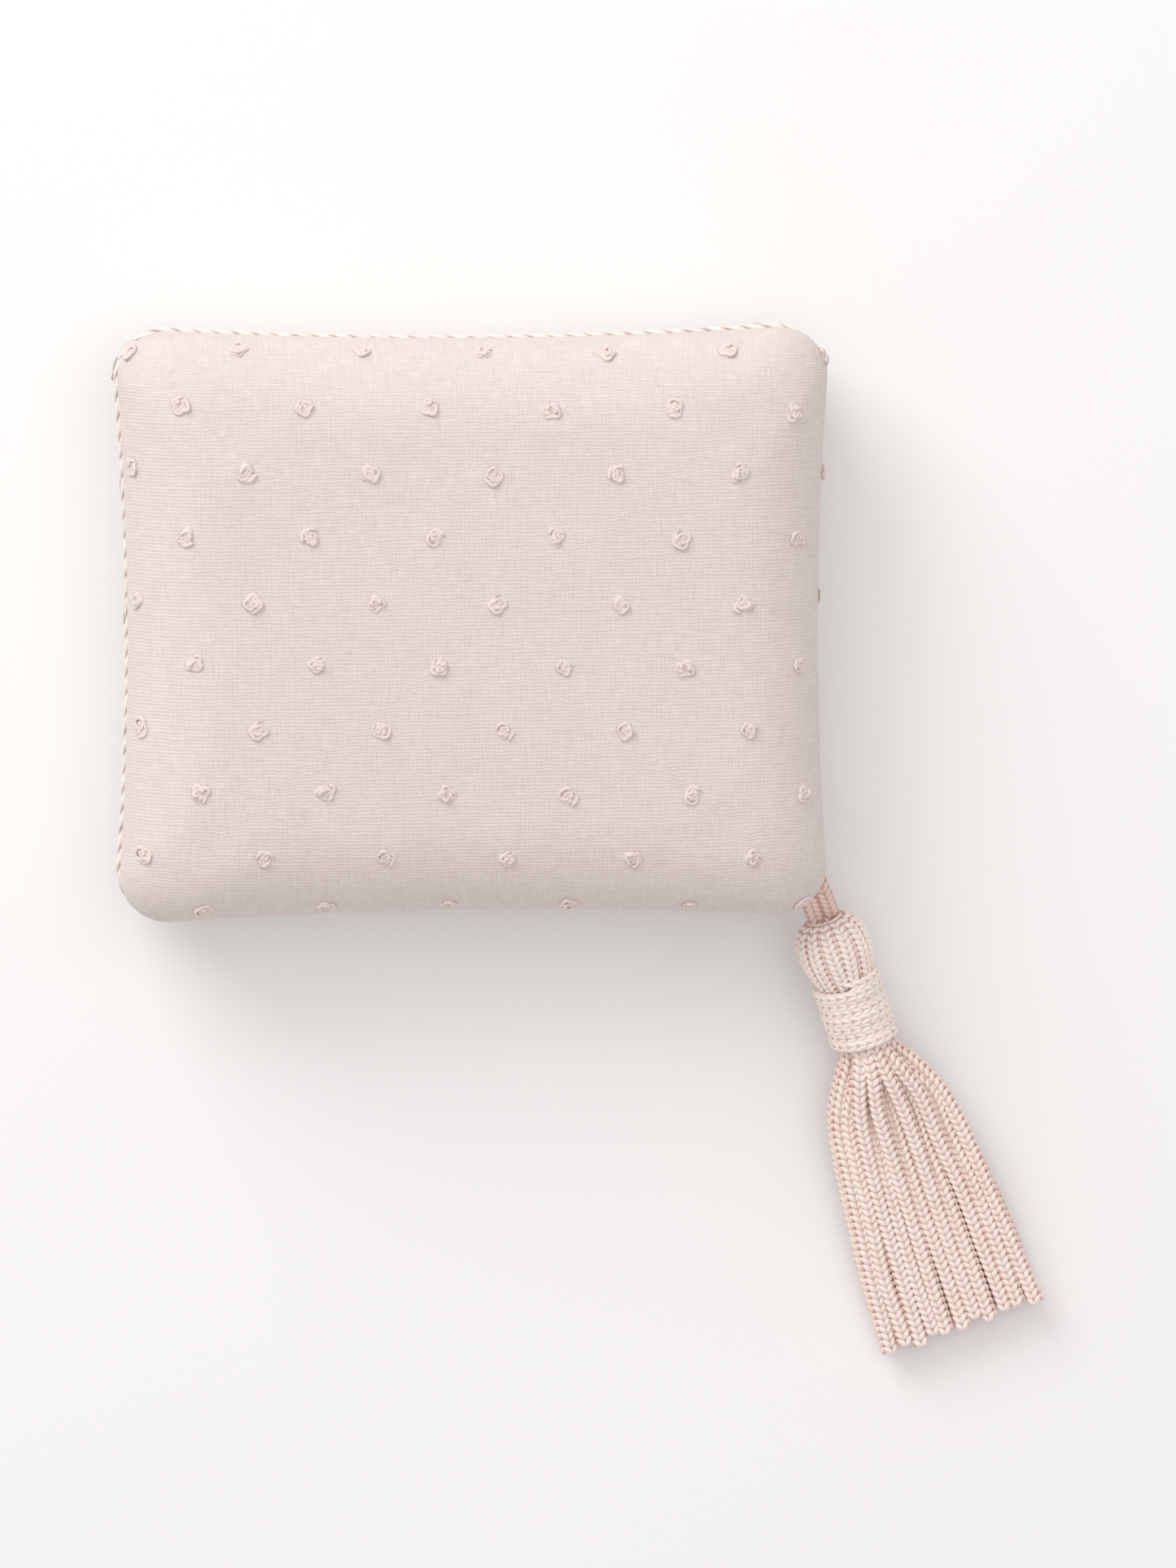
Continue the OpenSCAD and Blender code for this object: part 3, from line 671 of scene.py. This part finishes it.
def section(crown):
    """Rings from the middle outwards: inset, height over the seam, share of the ring, extra cloth."""
    flat_in, flat_high = BULGE_IN + EDGE_ROLL, BULGE_RISE + ROLL_RISE
    rings = [(flat_in, flat_high + crown * (1 - (i / FACE_RINGS) ** 2), i / FACE_RINGS)
             for i in range(FACE_RINGS + 1)]
    for i in range(1, ROLL_RINGS + 1):
        a = math.pi / 2 * (1 - i / ROLL_RINGS)
        rings.append((BULGE_IN + EDGE_ROLL * (1 - math.cos(a)), BULGE_RISE + ROLL_RISE * math.sin(a), 1))
    for i in range(1, PINCH_RINGS + 1):
        t = i / PINCH_RINGS
        rings.append((BULGE_IN + PINCH * t ** 1.6, BULGE_RISE * (1 - t) + 0.04 * t, 1))
    rings.append((BULGE_IN + PINCH + 2.5, 0.04, 1))
    rows, advance = [], 0
    for i, (inset, high, share) in enumerate(rings):
        if i > FACE_RINGS:
            before = rings[i - 1]
            advance += math.hypot(inset - before[0], high - before[1])
        rows.append((inset, high, share, advance - (flat_in - inset) if i > FACE_RINGS else 0))
    return rows


def cover(name, crown, side):
    """side 1 is the front, and -1 the back."""
    rows = section(crown)
    n = len(rows) - 1
    points, cloth, ring_of = [], [], []
    for j in range(-n, n + 1):
        for i in range(-n, n + 1):
            k = max(abs(i), abs(j))
            if k == 0:
                points.append((0, 0, SEAM_Z + side * rows[0][1]))
                cloth.append((0, 0, 0))
                ring_of.append(0)
                continue
            if j == k:
                q, share = 0, (k - i) / (2 * k)
            elif i == -k:
                q, share = 1, (k - j) / (2 * k)
            elif j == -k:
                q, share = 2, (i + k) / (2 * k)
            else:
                q, share = 3, (j + k) / (2 * k)
            inset, high, scale, extra = rows[k]
            place, out = outline_point(inset, q, share)
            points.append((*(place * scale), SEAM_Z + side * high))
            cloth.append((*(place * scale + out * extra), 0))
            ring_of.append(k)
    width = 2 * n + 1
    faces = []
    for j in range(width - 1):
        for i in range(width - 1):
            c = j * width + i
            quad = (c, c + 1, c + width + 1, c + width)
            faces.append(quad if side > 0 else quad[::-1])
    made = new_mesh(name, points, faces, {"cloth": cloth})
    return made, np.array(ring_of), n


# %% [markdown]
# Stuffing: a short cloth simulation blows each cover out, with its seam held still. How far any point
# may move is capped, so the pillow keeps its measured size.

# %% Stuffing
LAST_FRAME, SMOOTHING_PASSES = 20, 40


def stuff(made, ring_of, n, cap):
    before = np.array([v.co for v in made.data.vertices])
    pins = made.vertex_groups.new(name="seam")
    for i in np.nonzero(ring_of >= n - 1)[0]:
        pins.add([int(i)], 1.0, "REPLACE")
    work = made.modifiers.new("cloth", "CLOTH")
    settings = work.settings
    settings.quality, settings.mass = 6, 0.15
    settings.tension_stiffness = settings.compression_stiffness = 12
    settings.shear_stiffness, settings.bending_stiffness = 6, 0.4
    settings.use_pressure, settings.uniform_pressure_force = True, 4
    settings.vertex_group_mass = "seam"
    settings.effector_weights.gravity = 0
    work.point_cache.frame_start, work.point_cache.frame_end = 1, LAST_FRAME
    scene = bpy.context.scene
    for f in range(1, LAST_FRAME + 1):
        scene.frame_set(f)
    seen = made.evaluated_get(bpy.context.evaluated_depsgraph_get())
    after = np.array([v.co for v in seen.data.vertices])
    made.modifiers.remove(work)
    made.vertex_groups.clear()
    scene.frame_set(1)
    normals = np.array([v.normal for v in made.data.vertices])
    out = np.sum((after - before) * normals, axis=1) / MM
    print(f"{made.name}: cloth moved {out.min():.2f} to {out.max():.2f} mm, kept within 0 and {cap} mm")
    out = np.clip(out, 0, 2 * cap).reshape(2 * n + 1, 2 * n + 1)
    held = np.minimum(1, (n - 1 - ring_of.reshape(out.shape)) / 8).clip(0)
    for _ in range(SMOOTHING_PASSES):
        wide = np.pad(out, 1, mode="edge")
        around = wide[:-2, 1:-1] + wide[2:, 1:-1] + wide[1:-1, :-2] + wide[1:-1, 2:]
        out = (around + 2 * out) / 6 * np.minimum(1, held + 0.6)
    out = np.minimum(out, cap).ravel()
    made.data.vertices.foreach_set("co", (before + normals * (out * MM)[:, None]).ravel())
    made.data.update()


def smoothed(made, thick=0.0):
    """A mesh of the piece with one subdivision, and the cloth's thickness inwards if there is one."""
    fine = made.modifiers.new("fine", "SUBSURF")
    fine.levels = fine.render_levels = 1
    if thick:
        wall = made.modifiers.new("thickness", "SOLIDIFY")
        wall.thickness, wall.offset = thick * MM, -1
    seen = made.evaluated_get(bpy.context.evaluated_depsgraph_get())
    mesh = bpy.data.meshes.new_from_object(seen)
    made.modifiers.clear()
    return mesh


def face_finder(mesh):
    """Looks up the place and the way out on a cover from a place on its flat cloth."""
    cloth = np.zeros(len(mesh.vertices) * 3)
    mesh.attributes["cloth"].data.foreach_get("vector", cloth)
    cloth = cloth.reshape(-1, 3)
    real = np.array([v.co for v in mesh.vertices]) / MM
    faces = [tuple(p.vertices) for p in mesh.polygons]
    flat = BVHTree.FromPolygons([Vector(c) for c in cloth], faces)
    normals = np.array([p.normal for p in mesh.polygons])

    def find(u, v):
        hit = flat.ray_cast(Vector((u, v, 5)), Vector((0, 0, -1)))
        if hit[2] is None:
            return None
        corners = list(faces[hit[2]])
        weights = 1 / np.maximum(np.sum((cloth[corners][:, :2] - [u, v]) ** 2, axis=1), 1e-6)
        weights /= weights.sum()
        return weights @ real[corners], normals[hit[2]]

    return find


CLOTH_THICK = 0.42
finders = {}
for name, crown, side, cap in (("stuffed_front", FACE_CROWN, 1, 0.9), ("stuffed_back", 0.0, -1, 0.1)):
    made, ring_of, n = cover(name, crown, side)
    stuff(made, ring_of, n, cap)
    finders[name] = face_finder(smoothed(made))
    made.data = smoothed(made, CLOTH_THICK)
    made.data.materials.append(blush_cotton)
    print(name, len(made.data.polygons), "faces")
    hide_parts("front_cover" if side > 0 else "back_cover")
    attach(made, "pillow")

# %% [markdown]
# Clip dots: each is a curl of soft weft yarn that stands up where the loom's float was clipped. Six
# different curls are placed on a staggered lattice that lies on the flat cloth.

# %% Clip dots
def curl(seed, turns_round, radius, spiral, thick, rise):
    """One curl of yarn: points, faces and how lit each point is."""
    r = np.random.default_rng(seed)
    t = np.linspace(0, 1, 36)
    angle = 2 * math.pi * turns_round * t + r.uniform(0, 6)
    wave = sum(r.uniform(0.05, 0.16) * np.sin(k * angle * 0.8 + r.uniform(0, 6)) for k in (2, 3, 5))
    here = radius * (1 - spiral * t) * (1 + wave)
    high = rise + thick * 0.5 + 0.14 * np.sin(angle * 1.7 + r.uniform(0, 6)) + 0.2 * spiral * t
    path = np.stack([here * np.cos(angle), r.uniform(0.78, 0.95) * here * np.sin(angle), high], axis=1)
    wide = thick * (1 + 0.15 * np.sin(angle * 2.3)) * np.minimum(1, np.minimum(t, 1 - t) * 9 + 0.3)
    points, faces = tube(path, wide, wide * 0.75, 8, np.tile([0, 0, 1.0], (len(t), 1)))
    turn = np.linspace(0, 2 * math.pi, 8, endpoint=False)
    # painted light: the upper side of the yarn is lit and its underside painted shade
    return points, faces, np.tile(0.55 + 0.45 * np.sin(turn), len(t))


def pad(seed, radius, high):
    """The matted middle of a tuft: a low lumpy dome."""
    r = np.random.default_rng(seed)
    rings, sides = 9, 26
    phase = r.uniform(0, 6, 8)
    points, lit = [(0, 0, high)], [0.9]
    for i in range(1, rings + 1):
        share = i / rings
        for k in range(sides):
            a = 2 * math.pi * k / sides
            edge = (1 + 0.11 * math.sin(2 * a + phase[0]) + 0.08 * math.sin(3 * a + phase[1])
                    + 0.05 * math.sin(7 * a + phase[2]))
            lump = (0.13 * math.sin(5 * a + 7 * share + phase[3])
                    + 0.12 * math.sin(9 * share - 3 * a + phase[4]))
            z = high * (1 - share ** 3) + lump * share * (1 - share) * 3 - 0.05 * share
            here = radius * share * edge
            points.append((here * math.cos(a), 0.9 * here * math.sin(a), z))
            # painted light: lump tops and the middle of the pad are lit, hollows and rim painted shade
            lit.append(0.45 + 1.8 * lump + 0.3 * (1 - share))
    faces = [(0, 1 + k, 1 + (k + 1) % sides) for k in range(sides)]
    for i in range(1, rings):
        inner, outer = 1 + (i - 1) * sides, 1 + i * sides
        faces += [(inner + k, outer + k, outer + (k + 1) % sides, inner + (k + 1) % sides)
                  for k in range(sides)]
    faces.append(tuple(1 + (rings - 1) * sides + k for k in reversed(range(sides))))
    return np.array(points), faces, np.array(lit)


def tuft(name, seed, curl_rows, radius=1.55, high=0.42):
    pieces = [pad(seed, radius, high)] + [curl(seed * 10 + i, *row) for i, row in enumerate(curl_rows)]
    points, faces = merged([p[:2] for p in pieces])
    return new_mesh(name, points, faces, {"lit": np.concatenate([p[2] for p in pieces])})


curls = shape_set("curls", [
    tuft("curl_a", 1, [(0.9, 1.5, 0.05, 0.3, 0.05), (0.4, 0.7, 0.1, 0.26, 0.3)]),
    tuft("curl_b", 2, [(0.45, 1.55, 0.1, 0.32, 0.1), (0.5, 0.95, 0.1, 0.3, 0.3), (0.3, 1.2, 0, 0.24, 0.2)]),
    tuft("curl_c", 3, [(1.6, 1.6, 0.6, 0.27, 0.1)]),
    tuft("curl_d", 4, [(0.6, 1.45, 0.2, 0.33, 0.05), (0.7, 0.8, 0.3, 0.28, 0.35)]),
    tuft("curl_e", 5, [(1.3, 1.55, 0.45, 0.3, 0.1), (0.3, 0.9, 0, 0.3, 0.3)], 1.4),
    tuft("curl_f", 6, [(0.35, 1.6, 0.05, 0.3, 0.1), (0.4, 1.3, 0.1, 0.28, 0.15),
                       (0.5, 0.6, 0.2, 0.3, 0.35)])])


DOT_PITCH, ROW_PITCH, ROW_DRIFT, ROW_DROP = 20.5, 10.7, 0.45, 0.3


def dots(name, start, finder, press, lowest, seed):
    """Tufts on the lattice, pressed to a share of their height, down to lowest over the seam."""
    r = np.random.default_rng(seed)
    places, outs = [], []
    for row in range(-7, 8):
        for col in range(-4, 5):
            u = start[0] + (col + (0 if row % 2 == 0 else 0.5)) * DOT_PITCH - row * ROW_DRIFT
            v = start[1] + row * ROW_PITCH - col * ROW_DROP
            found = finder(u + r.normal(0, 0.15), v + r.normal(0, 0.15))
            if found is None or abs(found[0][2] - SEAM_Z) < lowest:
                continue
            places.append(found[0])
            outs.append(found[1])
    outs = unit(outs)
    spin = r.uniform(0, 2 * math.pi, len(outs))
    side = np.stack([np.cos(spin), np.sin(spin), 0 * spin], axis=1)
    x_way = unit(side - outs * np.sum(side * outs, axis=1, keepdims=True))
    size = r.uniform(0.92, 1.08, (len(outs), 1)) * np.array([[1, 1, press]])
    return place_copies(name, np.array(places), turns(x_way, np.cross(outs, x_way), outs), size,
                        r.integers(0, 6, len(outs)), curls, clip_yarn)


front_dots = dots("front_tufts", (3.0, 4.6), finders["stuffed_front"], 1.0, 3.4, 21)
back_dots = dots("back_tufts", (0, 0), finders["stuffed_back"], 0.42, 5.2, 22)
for v in back_dots.data.vertices:  # pressed flat against what the pillow lies on
    v.co.z = max(v.co.z, 0.02 * MM)
for made, node in ((front_dots, "front_clip_dots"), (back_dots, "back_clip_dots")):
    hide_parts(node)
    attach(made, "pillow")

# %% [markdown]
# Edge cord: plies of ivory cotton twisted together, sewn into the seam. The run starts and ends at the
# tassel's corner, where both ends turn into the seam.

# %% Edge cord
def cord_line():
    points = []
    inset = CORD_D / 2
    for side in (3, 0, 1, 2):
        for share in np.linspace(0, 1, 400, endpoint=False):
            points.append((*outline_point(inset, side, share)[0], SEAM_Z))
    for share in np.linspace(0, 0.012, 8):
        points.append((*outline_point(inset, 3, share)[0], SEAM_Z))
    return np.array(points)


STEP, OPENING, TUCK_LEN, TUCK_IN = 0.33, 3.9, 3.0, 2.6
line, _ = along(cord_line(), STEP)
line = line[np.linalg.norm(line - LOOP_ROOT, axis=1) > OPENING]
split = int(np.argmax(np.linalg.norm(np.diff(line, axis=0), axis=1))) + 1
if np.linalg.norm(line[split] - line[split - 1]) > 1.0:
    line = np.vstack([line[split:], line[:split]])
count = np.arange(len(line))
tuck = np.clip(1 - np.minimum(count, count[::-1]) * STEP / TUCK_LEN, 0, 1) ** 2
inward = unit(np.array([[48, -38, SEAM_Z]]) - line)  # towards the middle of the corner's arc
line = line + inward * (tuck * TUCK_IN)[:, None]
way, across, up = frames(line, np.tile([0, 0, 1.0], (len(line), 1)))
far = np.concatenate([[0], np.cumsum(np.linalg.norm(np.diff(line, axis=0), axis=1))])
PLIES, LAY_LENGTH, PLY_R, PLY_OUT, SIDES = 3, 9.9, 0.64, 0.56, 10
parts, lit = [], []
for p in range(PLIES):
    turn = 2 * math.pi * (far / LAY_LENGTH + p / PLIES)
    out = across * np.cos(turn)[:, None] + up * np.sin(turn)[:, None]
    swell = 1 + 0.04 * np.sin(far * 1.9 + p)
    points, faces = tube(line + out * PLY_OUT, PLY_R * swell, PLY_R * 0.86 * swell, SIDES, out)
    ring = np.linspace(0, 2 * math.pi, SIDES, endpoint=False)
    # painted light: the upper side of each ply is lit and its underside, where the plies meet, painted
    # shade
    lit.append(np.tile(0.5 + 0.5 * np.sin(ring), len(line)))
    parts.append((points, faces))
points, faces = merged(parts)
edge = new_mesh("twisted_edge_cord", points, faces, {"lit": np.concatenate(lit)})
edge.data.materials.append(ivory_cord)
print("edge cord", round(far[-1], 1), "mm long,", len(faces), "faces")
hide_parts("edge_cord")
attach(edge, "pillow")

# %% [markdown]
# The CAD pieces that stay: threads, lining, wadding and the cords deep in the head, which are painted
# darker as shade.

# %% Materials of the CAD pieces
coats = {
    "inner_case_front": case_cotton, "inner_case_back": case_cotton, "filling": fibre_fill,
    "seam_stitches": sewing_thread, "case_stitches": sewing_thread, "cord_stitches": sewing_thread,
    "closing_stitches": sewing_thread, "loop_tails": loop_chainette_shaded, "loop_stitches": sewing_thread,
    "bundle_tie": sewing_thread, "inner_head_cords": inner_cord_shade}
for node, coat in coats.items():
    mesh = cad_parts[node].data
    mesh.materials.clear()
    mesh.materials.append(coat)
print("CAD pieces kept:", len(coats))
